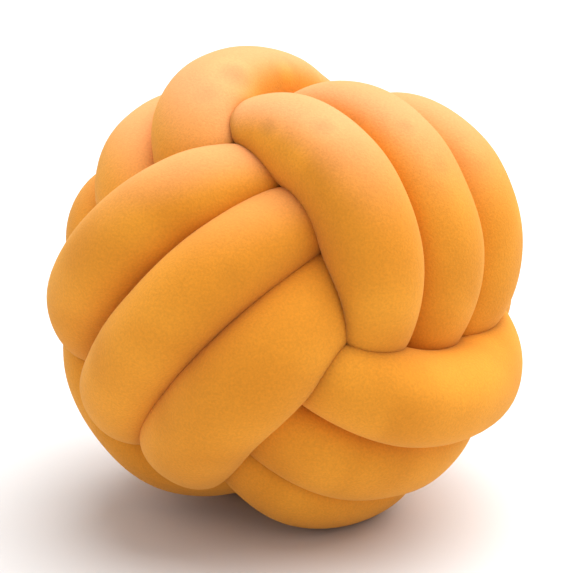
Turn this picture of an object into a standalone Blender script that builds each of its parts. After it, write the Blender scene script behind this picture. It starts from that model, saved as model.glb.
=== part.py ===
# Knot cushion: one long stuffed tube wound into a ball. It makes three bands, each three
# passes wide, and every band runs over one neighbour and dives under the other. The tube's
# two ends, and its steps from pass to pass and band to band, are tucked inside the ball.
# Lengths are in metres and angles in degrees, unless a name says otherwise.

from collections import namedtuple
from math import cos, pi, radians, sin, sqrt

import bmesh
import bpy
from mathutils import Euler, Matrix, Vector

MM = 0.001

# The weave
PASSES = 3                   # passes side by side in each band
CREST_RADIUS = 0.122         # ball's centre to the tube's middle, where it is highest
DIVE_DEPTH = 0.046           # how much it sinks to pass under its neighbour
CREST_FLATNESS = 0.59        # 0 is an even wave, 1 stays longer on top and below
PASS_SPACING = 0.0515        # from one pass to the next, on top
UNDER_SPACING = 0.81         # share of that spacing left where a band is under
STEP_ANGLE = 32.0            # half the turn over which the tube steps to its next pass
CROSSING_PULL = 0.116        # how strongly the tube keeps its way where it changes band
CROSSING_SECTIONS = 8

# The tube
HALF_WIDTH = 0.028
HALF_THICKNESS = 0.024
SECTION_POWER = 2.1          # 2 is an ellipse, more is squarer
SECTION_SIDES = 18
RING_SPACING = 0.013         # between sections along the tube

# The ball
CORE_RADIUS = 0.111          # the wound-up inside, under the deepest creases
CORE_ROUNDNESS = 4
FILL_HALF_WIDTH = 0.012      # where two passes of a band are squashed together
FILL_HALF_THICKNESS = 0.009
FILL_DROP = 0.0045           # from the passes' middle in to the middle of that
TURN = (-44.9, -1.9, -130.7)           # how the ball has rolled, about X, Y and Z
CENTRE = Vector((0.0014, 0.0, 0.131))  # of the ball, this high above its flat spot
FLOOR_BLOCK = 0.4            # side of the block that cuts the flat spot
SKIN_GRAIN = 0.0025          # finest detail of the one skin over all the passes
FACETS_KEPT = 0.08           # share of that skin's facets that the shape needs

# A band runs over the ball's two faces on its axis "over", dives under its neighbour at
# the two faces on its axis "under", and has its passes side by side along "across".
X, Y, Z = 0, 1, 2
Band = namedtuple("Band", "over under across")
BANDS = (Band(X, Z, Y), Band(Z, Y, X), Band(Y, X, Z))

# How each pass that shows strays from the even weave, in whole millimetres: sideways,
# slanted, bowed, lifted off the centre, wider and thicker. The other passes are even.
Stray = namedtuple("Stray", "band side row shift slant bow lift wide thick")
STRAYS = (
    Stray(1, 1, 1, -2, 2, 1, 1, -2, 1),
    Stray(1, 1, 0, -4, 6, -3, -2, -3, -2),
    Stray(1, 1, -1, -5, 14, 0, 1, 0, 1),
    Stray(0, 1, -1, 7, -2, 4, 3, -1, 1),
    Stray(0, 1, 0, 8, -7, -3, 3, -3, 2),
    Stray(0, 1, 1, 2, -2, -9, 0, 1, 0),
    Stray(2, 1, 1, 4, 1, -7, 3, -2, 2),
    Stray(2, 1, 0, 6, -6, -8, -2, -2, -3),
    Stray(2, 1, -1, 10, 3, 1, 1, -1, -4),
    Stray(2, -1, 1, 0, -12, -8, 4, 3, 2),
    Stray(2, -1, 0, 1, 0, -1, 2, 0, 1),
    Stray(2, -1, -1, 0, -1, 0, 2, 0, 5),
    Stray(1, -1, 1, 18, 15, -2, 0, 3, 0),
    Stray(1, -1, 0, 9, 8, 0, 0, 3, 0),
    Stray(1, -1, -1, 2, 3, 0, 0, 2, 0),
)
STRAY_BY_PASS = {(stray.band, stray.side, stray.row): stray for stray in STRAYS}
STRAY_FULL = pi / 4          # a stray is whole this far from the middle of its face,
STRAY_LIMIT = 1.6            # its slant and bow stop growing at this many times that,
BOW_LEVEL = 0.4              # and a bow is set back so that its pass stays in place

CLOTH_COLOUR = (0.82, 0.33, 0.048, 1.0)
CLOTH_ROUGHNESS = 0.85


def smooth_step(x):
    x = min(max(x, 0.0), 1.0)
    return x * x * (3.0 - 2.0 * x)


def topness(angle):
    # 1 where a band is on top, 0 where it is under
    wave = cos(2.0 * angle)
    square_wave = sin(pi / 2.0 * wave)
    return 0.5 + 0.5 * (CREST_FLATNESS * square_wave + (1.0 - CREST_FLATNESS) * wave)


def pass_place(band_number, row, angle):
    # The tube's middle on one pass of a band, with its half width and half thickness.
    # Rows -1, 0 and 1 lie along the band's across axis.
    top = topness(angle)
    radius = CREST_RADIUS - DIVE_DEPTH * (1.0 - top)
    offset = row * PASS_SPACING * (UNDER_SPACING + (1.0 - UNDER_SPACING) * top)
    half_width = HALF_WIDTH
    half_thickness = HALF_THICKNESS
    side = 1 if cos(angle) > 0.0 else -1
    stray = STRAY_BY_PASS.get((band_number, side, round(row)))
    if stray:
        middle = 0.0 if side > 0 else pi
        along = ((angle - middle + pi) % (2.0 * pi) - pi) / STRAY_FULL
        fade = smooth_step(2.0 - abs(along))
        along = min(max(along, -STRAY_LIMIT), STRAY_LIMIT)
        bend = stray.slant * along + stray.bow * (along ** 2 - BOW_LEVEL)
        offset += fade * (stray.shift + bend) * MM
        radius += fade * stray.lift * MM
        half_width += fade * stray.wide * MM
        half_thickness += fade * stray.thick * MM
    band = BANDS[band_number]
    reach = sqrt(radius ** 2 - offset ** 2)
    middle = Vector()
    middle[band.over] = reach * cos(angle)
    middle[band.under] = reach * sin(angle)
    middle[band.across] = offset
    return middle, half_width, half_thickness


def row_after(turns):
    # The row that the tube is on. It steps to the next at the start of each turn, under
    # its neighbour. It comes in half a step early, and leaves half a step late.
    half_step = STEP_ANGLE / 360.0
    row = -(PASSES - 1) / 2.0 - 1.0
    for start in range(PASSES + 1):
        row += smooth_step((turns - start + half_step) / (2.0 * half_step))
    return row


def band_path(band_number):
    # All the turns of one band, from under its neighbour to under it again
    sections = round(2.0 * pi * CREST_RADIUS / RING_SPACING) * PASSES
    path = []
    for i in range(sections + 1):
        turns = i / sections * PASSES
        angle = 2.0 * pi * turns - pi / 2.0
        path.append(pass_place(band_number, row_after(turns), angle))
    return path


def crossing_path(before, after):
    # The hidden stretch from the end of one band to the start of the next
    start, end = before[-1][0], after[0][0]
    way_out = (start - before[-2][0]).normalized() * CROSSING_PULL
    way_in = (after[1][0] - end).normalized() * CROSSING_PULL
    path = []
    for i in range(1, CROSSING_SECTIONS):
        t = i / CROSSING_SECTIONS
        rise = smooth_step(t)
        middle = start * (1.0 - rise) + end * rise
        middle += way_out * (t * (1.0 - t) ** 2) - way_in * (t ** 2 * (1.0 - t))
        path.append((middle, HALF_WIDTH, HALF_THICKNESS))
    return path


def tube_path():
    bands = [band_path(number) for number in range(len(BANDS))]
    path = list(bands[0])
    for before, after in zip(bands, bands[1:]):
        path += crossing_path(before, after) + after
    return path


def fill_path(band_number, row):
    # Once round, just inside the groove between two passes of a band
    sections = round(2.0 * pi * CREST_RADIUS / RING_SPACING)
    path = []
    for i in range(sections):
        middle = pass_place(band_number, row, 2.0 * pi * i / sections)[0]
        middle -= middle.normalized() * FILL_DROP
        path.append((middle, FILL_HALF_WIDTH, FILL_HALF_THICKNESS))
    return path


def power_round(value):
    # Squares up a cosine or a sine, for a section a little fuller than an ellipse
    return abs(value) ** (2.0 / SECTION_POWER) * (1.0 if value > 0.0 else -1.0)


def add_section(bm, middle, forward, half_width, half_thickness):
    # The tube lies flat on the ball: its thickness points away from the centre
    outward = (middle - forward * middle.dot(forward)).normalized()
    sideways = forward.cross(outward)
    ring = []
    for i in range(SECTION_SIDES):
        turn = 2.0 * pi * (i + 0.5) / SECTION_SIDES
        up = outward * half_thickness * power_round(cos(turn))
        across = sideways * half_width * power_round(sin(turn))
        ring.append(bm.verts.new(middle + up + across))
    return ring


def add_object(name, bm):
    bmesh.ops.recalc_face_normals(bm, faces=bm.faces)
    mesh = bpy.data.meshes.new(name)
    bm.to_mesh(mesh)
    bm.free()
    made = bpy.data.objects.new(name, mesh)
    bpy.context.collection.objects.link(made)
    return made


def sweep(bm, path, is_loop):
    last = len(path) - 1
    rings = []
    for i, (middle, half_width, half_thickness) in enumerate(path):
        before = path[i - 1 if is_loop else max(i - 1, 0)][0]
        after = path[(i + 1) % len(path) if is_loop else min(i + 1, last)][0]
        forward = (after - before).normalized()
        rings.append(add_section(bm, middle, forward, half_width, half_thickness))
    next_rings = rings[1:] + rings[:1] if is_loop else rings[1:]
    for ring, next_ring in zip(rings, next_rings):
        for i in range(SECTION_SIDES):
            j = (i + 1) % SECTION_SIDES
            bm.faces.new((ring[i], ring[j], next_ring[j], next_ring[i]))
    if not is_loop:
        bm.faces.new(rings[0])
        bm.faces.new(rings[last])


def make_knot():
    bm = bmesh.new()
    sweep(bm, tube_path(), False)
    for number in range(len(BANDS)):
        for groove in range(PASSES - 1):
            row = groove + 1.0 - PASSES / 2.0
            sweep(bm, fill_path(number, row), True)
    bmesh.ops.create_icosphere(bm, subdivisions=CORE_ROUNDNESS, radius=CORE_RADIUS)
    return add_object("knot_ball", bm)


def make_floor_block():
    # What the ball stands on, which presses its lowest passes flat
    bm = bmesh.new()
    bmesh.ops.create_cube(bm, size=FLOOR_BLOCK)
    block = add_object("floor_cutter", bm)
    block.location.z = -FLOOR_BLOCK / 2.0
    return block


def fuse_passes(owner):
    # One skin over all that overlaps, with no more facets than its shape needs
    skin = owner.modifiers.new("one_skin", "REMESH")
    skin.mode = "VOXEL"
    skin.voxel_size = SKIN_GRAIN
    fewer = owner.modifiers.new("fewer_facets", "DECIMATE")
    fewer.ratio = FACETS_KEPT


def island_of(face, reached):
    # The faces that can be walked to from one face
    island = [face]
    reached.add(face)
    for here in island:
        for edge in here.edges:
            for other in edge.link_faces:
                if other not in reached:
                    reached.add(other)
                    island.append(other)
    return island


def fill_pockets(owner):
    # Keeps the outer skin, and fills the small pockets shut in between the passes
    depsgraph = bpy.context.evaluated_depsgraph_get()
    mesh = bpy.data.meshes.new_from_object(owner.evaluated_get(depsgraph))
    owner.modifiers.clear()
    bm = bmesh.new()
    bm.from_mesh(mesh)
    reached = set()
    islands = [island_of(face, reached) for face in bm.faces if face not in reached]
    islands.sort(key=len)
    for pocket in islands[:-1]:
        bmesh.ops.delete(bm, geom=pocket, context="FACES")
    bm.to_mesh(mesh)
    bm.free()
    owner.data = mesh


def cut_with(owner, cutter):
    cutter.hide_render = True
    cutter.display_type = "WIRE"
    cut = owner.modifiers.new("flat_spot", "BOOLEAN")
    cut.operation = "DIFFERENCE"
    cut.solver = "EXACT"
    cut.object = cutter


def add_cloth(owner):
    cloth = bpy.data.materials.new("velvet")
    cloth.use_nodes = True
    shader = cloth.node_tree.nodes["Principled BSDF"]
    shader.inputs["Base Color"].default_value = CLOTH_COLOUR
    shader.inputs["Roughness"].default_value = CLOTH_ROUGHNESS
    shader.inputs["Metallic"].default_value = 0.0
    owner.data.materials.append(cloth)


def roll_into_place(piece):
    turn = Euler([radians(degrees) for degrees in TURN]).to_matrix().to_4x4()
    piece.data.transform(Matrix.Translation(CENTRE) @ turn)


def main():
    for old in list(bpy.data.objects):
        bpy.data.objects.remove(old, do_unlink=True)
    cushion = make_knot()
    roll_into_place(cushion)
    add_cloth(cushion)
    cushion.data.shade_smooth()
    fuse_passes(cushion)
    fill_pockets(cushion)
    cut_with(cushion, make_floor_block())


main()
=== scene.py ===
from math import cos, pi, radians, sin

import bpy
import numpy as np
from mathutils import Euler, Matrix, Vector, noise


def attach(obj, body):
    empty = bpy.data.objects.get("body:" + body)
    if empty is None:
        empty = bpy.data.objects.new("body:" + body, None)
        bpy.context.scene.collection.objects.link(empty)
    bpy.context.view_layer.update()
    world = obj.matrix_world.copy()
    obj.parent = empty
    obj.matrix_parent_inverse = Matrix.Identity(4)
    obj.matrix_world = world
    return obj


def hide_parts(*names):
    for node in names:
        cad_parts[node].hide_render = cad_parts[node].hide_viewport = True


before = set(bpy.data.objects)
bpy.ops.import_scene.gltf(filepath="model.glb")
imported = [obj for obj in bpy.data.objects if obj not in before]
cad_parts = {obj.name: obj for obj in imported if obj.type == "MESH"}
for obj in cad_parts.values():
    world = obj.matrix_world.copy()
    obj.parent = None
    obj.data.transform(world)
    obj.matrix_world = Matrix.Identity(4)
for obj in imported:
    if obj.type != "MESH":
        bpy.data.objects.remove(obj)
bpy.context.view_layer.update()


# the weave is the same path as in the solid, in metres and degrees
weave = {
    "passes": 3,                # side by side in a band
    "crestRadius": 0.122,       # ball's centre to the tube's middle, where it is highest
    "diveDepth": 0.046,         # how much it sinks to pass under the next band
    "crestFlatness": 0.59,      # 0 is an even wave, 1 stays longer on top and below
    "passSpacing": 0.0515,
    "underSpacing": 0.81,       # share of the spacing left where a band is under
    "stepAngle": 32.0,          # half the turn in which the tube steps to its next pass
    "crossingPull": 0.116,      # how strongly it runs straight on before the next band
    "turn": (-44.9, -1.9, -130.7),
    "centre": (0.0014, 0.0, 0.131),
    # (over, under, across) axis of each band
    "bands": ((0, 2, 1), (2, 1, 0), (1, 0, 2)),
    # band, side, row: shift, slant, bow, lift, wide, thick in mm
    "strays": {
        (1, 1, 1): (-2, 2, 1, 1, -2, 1),
        (1, 1, 0): (-4, 6, -3, -2, -3, -2),
        (1, 1, -1): (-5, 14, 0, 1, 0, 1),
        (0, 1, -1): (7, -2, 4, 3, -1, 1),
        (0, 1, 0): (8, -7, -3, 3, -3, 2),
        (0, 1, 1): (2, -2, -9, 0, 1, 0),
        (2, 1, 1): (4, 1, -7, 3, -2, 2),
        (2, 1, 0): (6, -6, -8, -2, -2, -3),
        (2, 1, -1): (10, 3, 1, 1, -1, -4),
        (2, -1, 1): (0, -12, -8, 4, 3, 2),
        (2, -1, 0): (1, 0, -1, 2, 0, 1),
        (2, -1, -1): (0, -1, 0, 2, 0, 5),
        (1, -1, 1): (18, 15, -2, 0, 3, 0),
        (1, -1, 0): (9, 8, 0, 0, 3, 0),
        (1, -1, -1): (2, 3, 0, 0, 2, 0),
    },
    "strayFull": 45.0,          # a stray is whole this far from the middle of its face
    "strayLimit": 1.6,          # and its slant and bow grow no more past this many times that
    "bowLevel": 0.4,            # taken off a bow, so that it doesn't shift the whole pass
}

tube = {
    "halfWidth": 0.028,         # before its neighbours press it
    "halfThickness": 0.024,
    "sectionPower": 2.1,        # 2 is an ellipse, more is squarer
    "sides": 50,
    "evenSides": 0.8,           # 1 spreads them evenly, less brings them to the outer side
    "openAngle": 73.0,          # it shows this far from the middle of each face
    "openRings": 102,           # sections where it shows, and where it is hidden
    "hiddenRings": 3,
    "crossingRings": 10,
    "pressPower": 18.0,         # how sharply the cloth turns in at a contact
    "pressSlack": 1.12,         # over 1 lets neighbours sink into each other a little
    "creaseFrom": (0.91, 1.05),  # where the cloth turns into the crease, and is deep in it
    "evenedOut": 3,             # times that the pressing is smoothed
    "reach": 0.085,             # how far off a neighbour can be and still press
    "ownStretch": 0.075,        # nearer than this along the tube is no neighbour
    "leastLean": 0.002,         # a way must lean this much towards a neighbour to meet it
    "leastRadius": 0.007,
    "mostRadius": 1.0,          # where nothing presses
    "floorSoftness": 0.0012,    # how gently the underside flattens on the floor
    "weld": 0.00002,            # corners nearer than this become one
}


def smoothStep(x):
    x = np.clip(x, 0.0, 1.0)
    return x * x * (3.0 - 2.0 * x)


def rising(x, start, full):
    # 0 up to the start, 1 from full on
    return smoothStep((x - start) / (full - start))


def topness(angle):
    # 1 where the band is on top, 0 where it is deepest
    wave = np.cos(2.0 * angle)
    flat = weave["crestFlatness"]
    return 0.5 + 0.5 * (flat * np.sin(pi / 2.0 * wave) + (1.0 - flat) * wave)


def rowAfter(turns):
    # which pass of the band it is, counted from the middle one
    halfStep = weave["stepAngle"] / 360.0
    row = np.full(len(turns), -(weave["passes"] - 1) / 2.0 - 1.0)
    for start in range(weave["passes"] + 1):
        row += rising(turns, start - halfStep, start + halfStep)
    return row


def bandPath(number, angle):
    # middle line of one band's three passes, with its half width and half thickness
    over, under, across = weave["bands"][number]
    turns = (angle + pi / 2.0) / (2.0 * pi)
    row = rowAfter(turns)
    top = topness(angle)
    radius = weave["crestRadius"] - weave["diveDepth"] * (1.0 - top)
    squeeze = weave["underSpacing"] + (1.0 - weave["underSpacing"]) * top
    offset = row * weave["passSpacing"] * squeeze
    wide = np.full(len(angle), tube["halfWidth"])
    thick = np.full(len(angle), tube["halfThickness"])
    side = np.where(np.cos(angle) > 0.0, 1, -1)
    for (band, face, strayRow), stray in weave["strays"].items():
        if band != number:
            continue
        shift, slant, bow, lift, wider, thicker = np.array(stray) * 0.001   # from mm
        middle = 0.0 if face > 0 else pi
        along = ((angle - middle + pi) % (2.0 * pi) - pi) / radians(weave["strayFull"])
        here = (side == face) & (np.round(row) == strayRow)
        blendWeight = np.where(here, smoothStep(2.0 - np.abs(along)), 0.0)   # gone at twice as far
        along = np.clip(along, -weave["strayLimit"], weave["strayLimit"])
        offset += blendWeight * (shift + slant * along + bow * (along ** 2 - weave["bowLevel"]))
        radius = radius + blendWeight * lift
        wide += blendWeight * wider
        thick += blendWeight * thicker
    out = np.sqrt(radius ** 2 - offset ** 2)
    path = np.zeros((len(angle), 3))
    path[:, over] = out * np.cos(angle)
    path[:, under] = out * np.sin(angle)
    path[:, across] = offset
    return path, wide, thick


def halfTurnAngles():
    # sections lie closer together where the tube shows
    edge = radians(tube["openAngle"])
    before = np.linspace(-pi / 2.0, -edge, tube["hiddenRings"], endpoint=False)
    shown = np.linspace(-edge, edge, tube["openRings"], endpoint=False)
    after = np.linspace(edge, pi / 2.0, tube["hiddenRings"], endpoint=False)
    return np.concatenate((before, shown, after))


def tubePath():
    # the three bands, joined inside the ball into one tube
    angle = np.concatenate([halfTurnAngles() + pi * i for i in range(2 * weave["passes"])])
    angle = np.append(angle, 2.0 * pi * weave["passes"] - pi / 2.0)
    bands = [bandPath(number, angle) for number in range(3)]
    path, wide, thick = [list(part) for part in zip(bands[0])]
    for before, after in zip(bands, bands[1:]):
        start, end = before[0][-1], after[0][0]
        wayOut = start - before[0][-2]
        wayIn = after[0][1] - end
        wayOut *= weave["crossingPull"] / np.linalg.norm(wayOut)
        wayIn *= weave["crossingPull"] / np.linalg.norm(wayIn)
        t = (np.arange(1, tube["crossingRings"]) / tube["crossingRings"])[:, None]
        rise = smoothStep(t)
        bridge = start * (1.0 - rise) + end * rise
        bridge += wayOut * t * (1.0 - t) ** 2 - wayIn * t ** 2 * (1.0 - t)
        path += [bridge, after[0]]
        wide += [np.full(len(t), tube["halfWidth"]), after[1]]
        thick += [np.full(len(t), tube["halfThickness"]), after[2]]
    return np.concatenate(path), np.concatenate(wide), np.concatenate(thick)


def unit(vectors):
    return vectors / np.linalg.norm(vectors, axis=1)[:, None]


def evened(grid):
    # smooths a value along the tube and round it
    for _ in range(tube["evenedOut"]):
        grid[1:-1] = (grid[:-2] + 2.0 * grid[1:-1] + grid[2:]) / 4.0
        grid[:, 1:-1] = (grid[:, :-2] + 2.0 * grid[:, 1:-1] + grid[:, 2:]) / 4.0
    return grid


def pressedRadius(path, wide, ways):
    # how far the tube can swell each way before it meets the next pass
    arc = np.concatenate(([0.0], np.cumsum(np.linalg.norm(np.diff(path, axis=0), axis=1))))
    least, most = tube["leastRadius"], tube["mostRadius"]
    limit = np.full(ways.shape[:2], most)
    for i in range(len(path)):
        apart = path - path[i]
        square = (apart ** 2).sum(1)
        near = (square < tube["reach"] ** 2) & (np.abs(arc - arc[i]) > tube["ownStretch"])
        if not near.any():
            continue
        lean = ways[i] @ apart[near].T
        meets = square[near] + wide[i] ** 2 - wide[near] ** 2
        meets = meets / (2.0 * np.maximum(lean, tube["leastLean"]))
        meets = np.where(lean > tube["leastLean"], meets, most)
        limit[i] = np.clip(meets.min(1), least, most)
    return 1.0 / evened(1.0 / limit)


def tubeSurface():
    # a ring of points for each section, and how deep in a crease each point lies
    path, wide, thick = tubePath()
    forward = unit(np.gradient(path, axis=0))
    outward = unit(path - forward * (path * forward).sum(1)[:, None])
    sideways = np.cross(forward, outward)
    step = np.linspace(-1.0, 1.0, tube["sides"] + 1)
    even = tube["evenSides"]
    around = pi * (even * step + (1.0 - even) * step ** 3)
    ways = np.cos(around)[None, :, None] * outward[:, None]
    ways = ways + np.sin(around)[None, :, None] * sideways[:, None]
    n = tube["sectionPower"]
    free = (np.abs(np.cos(around)) / thick[:, None]) ** n
    free = (free + (np.abs(np.sin(around)) / wide[:, None]) ** n) ** (-1.0 / n)
    limit = pressedRadius(path, wide, ways) * tube["pressSlack"]
    p = tube["pressPower"]
    radius = (free ** -p + limit ** -p) ** (-1.0 / p)
    points = path[:, None] + radius[:, :, None] * ways
    turn = np.array(Euler([radians(a) for a in weave["turn"]]).to_matrix())
    points = points @ turn.T + np.array(weave["centre"])
    soft = tube["floorSoftness"]
    points[:, :, 2] = soft * np.logaddexp(0.0, points[:, :, 2] / soft)   # flat on the floor
    return points, evened(rising(free / limit, *tube["creaseFrom"]))


handling = {
    # where fingers pressed the nap down, or brushed it up (below 0): x, y, z, radius, how much
    "marks": (
        (-0.030, -0.022, 0.265, 0.0085, 1.0),
        (-0.011, -0.079, 0.244, 0.0055, 0.8),
        (0.018, -0.090, 0.246, 0.0060, 0.7),
        (0.064, -0.059, 0.241, 0.0050, 0.6),
        (0.083, -0.071, 0.222, 0.0055, 0.5),
        (0.038, -0.050, 0.243, 0.0050, 0.4),
        (-0.046, -0.039, 0.256, 0.0060, 0.4),
        (-0.029, -0.130, 0.176, 0.0080, 0.35),
        (0.067, -0.106, 0.194, 0.0075, 0.3),
        (-0.002, 0.018, 0.262, 0.0075, -0.7),
        (0.007, -0.098, 0.230, 0.0065, -0.35),
        (0.105, -0.027, 0.223, 0.0070, -0.4),
        (0.030, -0.113, 0.219, 0.0080, -0.3),
        (-0.074, -0.085, 0.219, 0.0100, -0.3),
        (-0.070, 0.080, 0.205, 0.0080, 0.6),
        (0.080, 0.095, 0.170, 0.0070, 0.5),
        (0.020, 0.060, 0.255, 0.0080, 0.7),
    ),
    "dent": 0.0009,
    "rim": (1.5, 0.5),          # where the paler rim of a mark lies, and how wide, in radii
    "rimShare": 0.5,
    "swell": 0.0008,            # how far the filling pushes out the open cloth between creases
    "lump": 0.0011,             # how uneven the filling is, and over what distance
    "lumpSize": 0.040,
    "stillBelow": 0.02,         # it lies flatter near the floor
    "highlightFacing": (0.2, 0.9),   # painted highlight: paler where the cloth faces up, and is high
    "highlightHeight": (0.17, 0.26),
}


def addTone(mesh, name, values):
    # a number at each point of the cloth, for the velvet to read
    mesh.attributes.new(name, "FLOAT", "POINT").data.foreach_set("value", values)


def handleCloth(cloth):
    # soft lumps of filling, and a shallow dent for each mark: darker, with a paler rim
    mesh = cloth.data
    points = np.empty((len(mesh.vertices), 3))
    normals = np.empty((len(mesh.vertices), 3))
    mesh.vertices.foreach_get("co", points.ravel())
    mesh.vertices.foreach_get("normal", normals.ravel())
    crease = np.empty(len(points))
    mesh.attributes["crease"].data.foreach_get("value", crease)
    nap = np.zeros(len(points))
    dent = np.zeros(len(points))
    rimAt, rimWidth = handling["rim"]
    for *spot, radius, strength in handling["marks"]:
        ring = np.linalg.norm(points - np.array(spot), axis=1) / radius
        pressed = np.exp(-ring ** 2)
        rim = handling["rimShare"] * np.exp(-((ring - rimAt) / rimWidth) ** 2)
        dent += handling["dent"] * strength * pressed
        nap += strength * (rim - pressed)
    lumps = [noise.noise(Vector(point) / handling["lumpSize"]) for point in points]
    filled = handling["lump"] * np.array(lumps) - handling["swell"] * (1.0 - crease)
    dent += filled * rising(points[:, 2], 0.0, handling["stillBelow"])
    mesh.vertices.foreach_set("co", (points - normals * dent[:, None]).ravel())
    # painted highlight: paler where the cloth faces up and lies high, kept for the velvet
    blendWeight = rising(normals[:, 2], *handling["highlightFacing"])
    blendWeight *= rising(points[:, 2], *handling["highlightHeight"])
    addTone(mesh, "napMark", nap)
    addTone(mesh, "blendWeight", blendWeight)
    mesh.update()
    print("handled cloth:", len(handling["marks"]), "finger marks")


def makeTube():
    # a strip of cloth with a row of corners for each section, rolled into a tube
    points, crease = tubeSurface()
    rings, corners = points.shape[:2]
    bpy.ops.object.select_all(action="DESELECT")
    bpy.ops.mesh.primitive_grid_add(x_subdivisions=corners - 1, y_subdivisions=rings - 1)
    strip = bpy.context.active_object
    strip.name = "woundTube"
    strip.data.vertices.foreach_set("co", points.astype(np.float32).ravel())
    addTone(strip.data, "crease", crease.ravel())
    strip.data.update()
    bpy.ops.object.mode_set(mode="EDIT")
    bpy.ops.mesh.select_all(action="SELECT")
    bpy.ops.mesh.remove_doubles(threshold=tube["weld"])
    bpy.ops.mesh.select_all(action="DESELECT")
    bpy.ops.mesh.select_non_manifold()
    bpy.ops.mesh.fill_holes(sides=0)
    bpy.ops.mesh.select_all(action="SELECT")
    bpy.ops.mesh.normals_make_consistent(inside=False)
    bpy.ops.object.mode_set(mode="OBJECT")
    bpy.ops.object.shade_smooth()
    print("wound tube:", len(strip.data.polygons), "faces")
    return strip


velvet = {
    "deep": (0.640, 0.224, 0.0110, 1.0),       # where the nap leans one way, and the other
    "pale": (0.765, 0.292, 0.0175, 1.0),
    "paintedHighlight": (0.825, 0.335, 0.1300, 1.0),      # painted highlight, blended in on top, where it is paler
    "patchScale": 16.0,
    "patchDetail": 1.0,
    "patchBend": 0.6,
    "patchRange": (0.25, 0.75),
    "markDepth": 0.17,                         # how much a finger mark darkens the cloth
    "creaseShade": 0.42,                       # painted shade: what a crease leaves of the colour
    "speckle": (0.925, 1.075),                 # darkest and lightest tufts
    "speckleRange": (0.3, 0.7),
    "pileScale": 780.0,
    "pileDetail": 2.0,
    "tuftScale": 2100.0,
    "tuftDetail": 1.0,
    "tuftHeight": 0.5,                         # against that of the pile
    "pileHeight": 0.00035,
    "pileStrength": 0.6,
    "roughness": (0.80, 0.92),
    "gloss": 0.25,
    "sheen": 0.21,
    "sheenRoughness": 0.6,
    "sheenTint": (1.0, 0.78, 0.30, 1.0),
}


def addNode(tree, kind, inputs=None, **settings):
    node = tree.nodes.new(kind)
    for name, value in settings.items():
        setattr(node, name, value)
    for name, value in (inputs or {}).items():
        node.inputs[name].default_value = value
    return node


def addRange(tree, value, low, high, start=0.0, full=1.0, **settings):
    # turns a value that goes from start to full into one from low to high
    node = addNode(tree, "ShaderNodeMapRange", {"From Min": start, "From Max": full,
                                                "To Min": low, "To Max": high}, **settings)
    tree.links.new(value, node.inputs["Value"])
    return node.outputs["Result"]


def addNoise(tree, place, scale, detail):
    node = addNode(tree, "ShaderNodeTexNoise", {"Scale": scale, "Detail": detail})
    tree.links.new(place, node.inputs["Vector"])
    return node


def mixColours(tree, share, first, second):
    mix = addNode(tree, "ShaderNodeMix", data_type="RGBA")
    shareSocket, firstSocket, secondSocket = mix.inputs[0], mix.inputs[6], mix.inputs[7]
    tree.links.new(share, shareSocket)
    for socket, colour in ((firstSocket, first), (secondSocket, second)):
        if isinstance(colour, tuple):
            socket.default_value = colour
        else:
            tree.links.new(colour, socket)
    return mix.outputs[2]


def makeVelvet():
    material = bpy.data.materials.new("velvet")
    material.use_nodes = True
    tree = material.node_tree
    link = tree.links.new
    shader = tree.nodes["Principled BSDF"]
    place = addNode(tree, "ShaderNodeTexCoord").outputs["Object"]

    # big soft patches where the nap leans another way
    patches = addNoise(tree, place, velvet["patchScale"], velvet["patchDetail"])
    patches.inputs["Distortion"].default_value = velvet["patchBend"]
    nap = addRange(tree, patches.outputs["Fac"], 0.0, 1.0, *velvet["patchRange"],
                   interpolation_type="SMOOTHSTEP")
    dyeAndHighlight = mixColours(tree, nap, velvet["deep"], velvet["pale"])
    # painted highlight blended over the dye on top of the ball
    blendWeight = addNode(tree, "ShaderNodeAttribute", attribute_name="blendWeight").outputs["Fac"]
    dyeAndHighlight = mixColours(tree, blendWeight, dyeAndHighlight, velvet["paintedHighlight"])

    # short pile: tufts about a millimetre across, and the yarn ends in them
    pile = addNoise(tree, place, velvet["pileScale"], velvet["pileDetail"])
    tufts = addNoise(tree, place, velvet["tuftScale"], velvet["tuftDetail"])
    toneAndShade = addRange(tree, pile.outputs["Fac"], *velvet["speckle"], *velvet["speckleRange"])

    # painted shade down in the creases, and darker where a finger pressed the nap
    mark = velvet["markDepth"]
    for name, start, low, high in (("crease", 0.0, 1.0, velvet["creaseShade"]),
                                   ("napMark", -1.0, 1.0 - mark, 1.0 + mark)):
        shade = addNode(tree, "ShaderNodeAttribute", attribute_name=name).outputs["Fac"]
        both = addNode(tree, "ShaderNodeMath", operation="MULTIPLY")
        link(addRange(tree, shade, low, high, start), both.inputs[0])
        link(toneAndShade, both.inputs[1])
        toneAndShade = both.outputs["Value"]
    colour = addNode(tree, "ShaderNodeVectorMath", operation="SCALE")
    link(dyeAndHighlight, colour.inputs[0])
    link(toneAndShade, colour.inputs["Scale"])
    link(colour.outputs["Vector"], shader.inputs["Base Color"])

    height = addNode(tree, "ShaderNodeMath", operation="MULTIPLY_ADD")
    height.inputs[1].default_value = velvet["tuftHeight"]
    link(tufts.outputs["Fac"], height.inputs[0])
    link(pile.outputs["Fac"], height.inputs[2])
    bump = addNode(tree, "ShaderNodeBump",
                   {"Strength": velvet["pileStrength"], "Distance": velvet["pileHeight"]})
    link(height.outputs["Value"], bump.inputs["Height"])
    link(bump.outputs["Normal"], shader.inputs["Normal"])
    smooth, coarse = velvet["roughness"]
    link(addRange(tree, nap, coarse, smooth), shader.inputs["Roughness"])

    shader.inputs["Specular IOR Level"].default_value = velvet["gloss"]
    shader.inputs["Sheen Weight"].default_value = velvet["sheen"]
    shader.inputs["Sheen Roughness"].default_value = velvet["sheenRoughness"]
    shader.inputs["Sheen Tint"].default_value = velvet["sheenTint"]
    print("velvet:", len(tree.nodes), "nodes")
    return material


knot = makeTube()
handleCloth(knot)
knot.data.materials.clear()
knot.data.materials.append(makeVelvet())
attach(knot, "root")
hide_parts("knot_ball")


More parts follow.
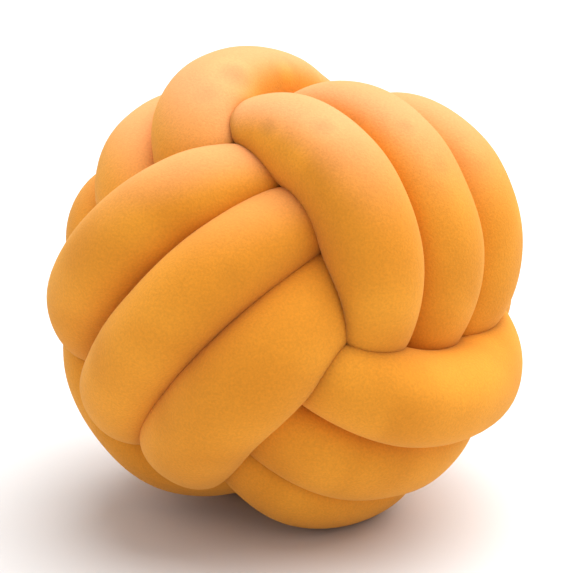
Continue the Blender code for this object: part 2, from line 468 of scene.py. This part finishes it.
studio = {
    "floorSize": 12.0,
    "floorColour": (0.70, 0.70, 0.70, 1.0),
    "floorRoughness": 0.9,
    "worldColour": (1.0, 1.0, 1.0, 1.0),
    "horizon": 0.5,             # brightness of the soft dome at its edge and overhead
    "zenith": 0.9,
    "keyStrength": 4.1,         # one wide soft light, high up, from the right and behind
    "keySpread": 75.0,
    "keyPlace": (0.5, 0.25, 1.5),
    "elevation": 15.0,
    "distance": 0.8997,
    "lens": 93.3,
    "shift": (-0.0068, 0.0130),  # puts the ball in the middle of the picture
}


def makeFloor():
    bpy.ops.object.select_all(action="DESELECT")
    bpy.ops.mesh.primitive_plane_add(size=studio["floorSize"], location=(0.0, 0.0, 0.0))
    floor = bpy.context.active_object
    floor.name = "floor"
    material = bpy.data.materials.new("floorPaint")
    material.use_nodes = True
    shader = material.node_tree.nodes["Principled BSDF"]
    shader.inputs["Base Color"].default_value = studio["floorColour"]
    shader.inputs["Roughness"].default_value = studio["floorRoughness"]
    floor.data.materials.append(material)


def makeLight():
    world = bpy.data.worlds.new("studio")
    world.use_nodes = True
    tree = world.node_tree
    background = tree.nodes["Background"]
    background.inputs["Color"].default_value = studio["worldColour"]
    upward = addNode(tree, "ShaderNodeSeparateXYZ")
    tree.links.new(addNode(tree, "ShaderNodeTexCoord").outputs["Generated"], upward.inputs[0])
    dome = addRange(tree, upward.outputs["Z"], studio["horizon"], studio["zenith"])
    tree.links.new(dome, background.inputs["Strength"])
    bpy.context.scene.world = world
    bpy.ops.object.light_add(type="SUN", location=studio["keyPlace"])
    key = bpy.context.active_object
    key.name = "keyLight"
    key.data.energy = studio["keyStrength"]
    key.data.angle = radians(studio["keySpread"])
    away = Vector(studio["keyPlace"]) - Vector(weave["centre"])
    key.rotation_euler = away.to_track_quat("Z", "Y").to_euler()


def makeCamera():
    aim = Vector(weave["centre"])
    tilt = radians(studio["elevation"])
    place = aim + Vector((0.0, -cos(tilt), sin(tilt))) * studio["distance"]
    bpy.ops.object.camera_add(location=place)
    camera = bpy.context.active_object
    camera.rotation_euler = (place - aim).to_track_quat("Z", "Y").to_euler()
    camera.data.lens = studio["lens"]
    camera.data.shift_x, camera.data.shift_y = studio["shift"]
    bpy.context.scene.camera = camera


makeFloor()
makeLight()
makeCamera()
bpy.context.scene.view_settings.view_transform = "Standard"
print("studio: floor, dome, key light and camera")
